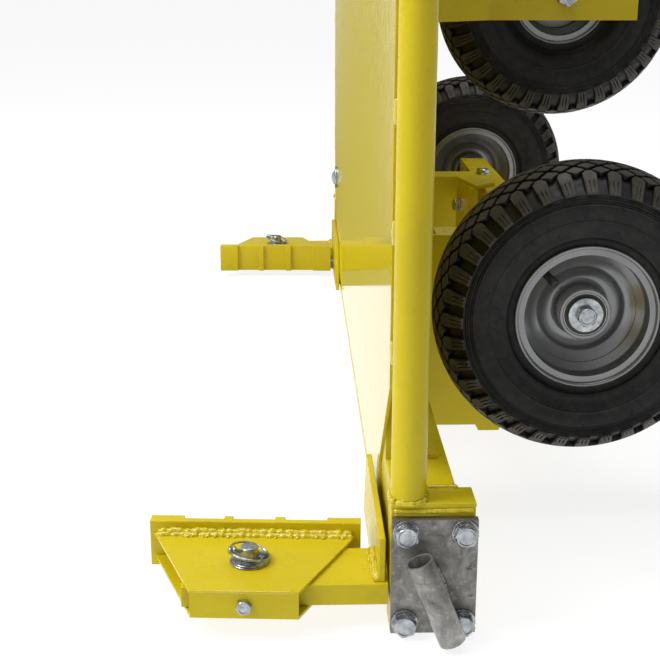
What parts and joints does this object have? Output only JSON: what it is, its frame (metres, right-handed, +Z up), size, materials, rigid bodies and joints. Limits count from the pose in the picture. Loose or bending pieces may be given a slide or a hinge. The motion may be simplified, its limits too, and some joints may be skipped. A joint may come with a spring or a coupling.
{
  "type": "brick trolley",
  "caption": "Wide upright trolley with a sheet back panel, sliding swivel clamp jaws at its base, pneumatic lower wheels and a central support wheel for rolling when tipped back.",
  "frame": {"origin": "middle of the underside of the base beam, on the floor", "axes": "+Z up, +X to the rear where the wheels are, +Y across the trolley"},
  "size_m": [0.6572, 1.542, 1.15],
  "materials": {
    "yellow_paint": "gloss enamel",
    "bare_steel": "hot rolled, mottled",
    "zinc": "bright zinc plated",
    "bearing_steel": "ground",
    "rim_grey": "metallic grey lacquer",
    "tyre_rubber": "black rubber",
    "grip_rubber": "matt"
  },
  "bodies": {
    "frame": {"axle_beam": "yellow_paint", "axle_bolts": "zinc", "axle_washers": "zinc", "back_panel": "yellow_paint", "base_beam": "yellow_paint", "chassis_bolts": "zinc", "end_boxes": "yellow_paint", "end_plate_bolts": "zinc", "end_plate_far": "bare_steel", "end_plate_near": "bare_steel", "end_plate_washers": "zinc", "handle_grips": "grip_rubber", "masts": "yellow_paint", "mid_rails": "yellow_paint", "panel_bolts": "zinc", "panel_brackets": "yellow_paint", "side_plates": "yellow_paint", "sockets": "bare_steel", "stub_axles": "zinc", "support_arm_far": "yellow_paint", "support_arm_near": "yellow_paint", "support_axle": "zinc", "support_nut": "zinc", "support_spacers": "zinc", "top_rail": "yellow_paint", "upright_far": "yellow_paint", "upright_near": "yellow_paint"},
    "wheel_near": {"tyre_near": "tyre_rubber", "rim_near": "rim_grey", "hub_near": "rim_grey", "bearings_near": "bearing_steel"},
    "wheel_far": {"tyre_far": "tyre_rubber", "rim_far": "rim_grey", "hub_far": "rim_grey", "bearings_far": "bearing_steel"},
    "support_wheel": {"tyre_support": "tyre_rubber", "rim_support": "rim_grey", "hub_support": "rim_grey", "bearings_support": "bearing_steel"},
    "slide_near": {"slide_plate_near": "yellow_paint", "clamp_bar_near": "bare_steel", "clamp_bolt_near": "zinc", "jaw_arm_near": "yellow_paint", "jaw_pin_near": "zinc", "pin_washer_near": "zinc", "lynch_pin_near": "zinc"},
    "slide_far": {"slide_plate_far": "yellow_paint", "clamp_bar_far": "bare_steel", "clamp_bolt_far": "zinc", "jaw_arm_far": "yellow_paint", "jaw_pin_far": "zinc", "pin_washer_far": "zinc", "lynch_pin_far": "zinc"},
    "jaw_near": {"jaw_bracket_near": "yellow_paint", "jaw_face_near": "yellow_paint", "jaw_stop_bolt_near": "zinc"},
    "jaw_far": {"jaw_bracket_far": "yellow_paint", "jaw_face_far": "yellow_paint", "jaw_stop_bolt_far": "zinc"}
  },
  "joints": [
    {"name": "wheel_near_spin", "type": "hinge", "parent": "frame", "child": "wheel_near", "pos_m": [0.19, -0.442, 0.226], "axis": [0, 1, 0], "continuous": true},
    {"name": "wheel_far_spin", "type": "hinge", "parent": "frame", "child": "wheel_far", "pos_m": [0.19, 0.442, 0.226], "axis": [0, 1, 0], "continuous": true},
    {"name": "support_wheel_spin", "type": "hinge", "parent": "frame", "child": "support_wheel", "pos_m": [0.238, 0, 0.536], "axis": [0, 1, 0], "continuous": true},
    {"name": "slide_near_travel", "type": "slide", "parent": "frame", "child": "slide_near", "axis": [0, 1, 0], "range_m": [0, 0.2]},
    {"name": "slide_far_travel", "type": "slide", "parent": "frame", "child": "slide_far", "axis": [0, -1, 0], "range_m": [-0.04, 0.16]},
    {"name": "jaw_near_swivel", "type": "hinge", "parent": "slide_near", "child": "jaw_near", "pos_m": [-0.16, -0.679, 0.034], "axis": [0, 0, 1], "range_deg": [-2, 10.6]},
    {"name": "jaw_far_swivel", "type": "hinge", "parent": "slide_far", "child": "jaw_far", "pos_m": [-0.146, 0.639, 0.034], "axis": [0, 0, 1], "range_deg": [-5.5, 1.5]}
  ]
}
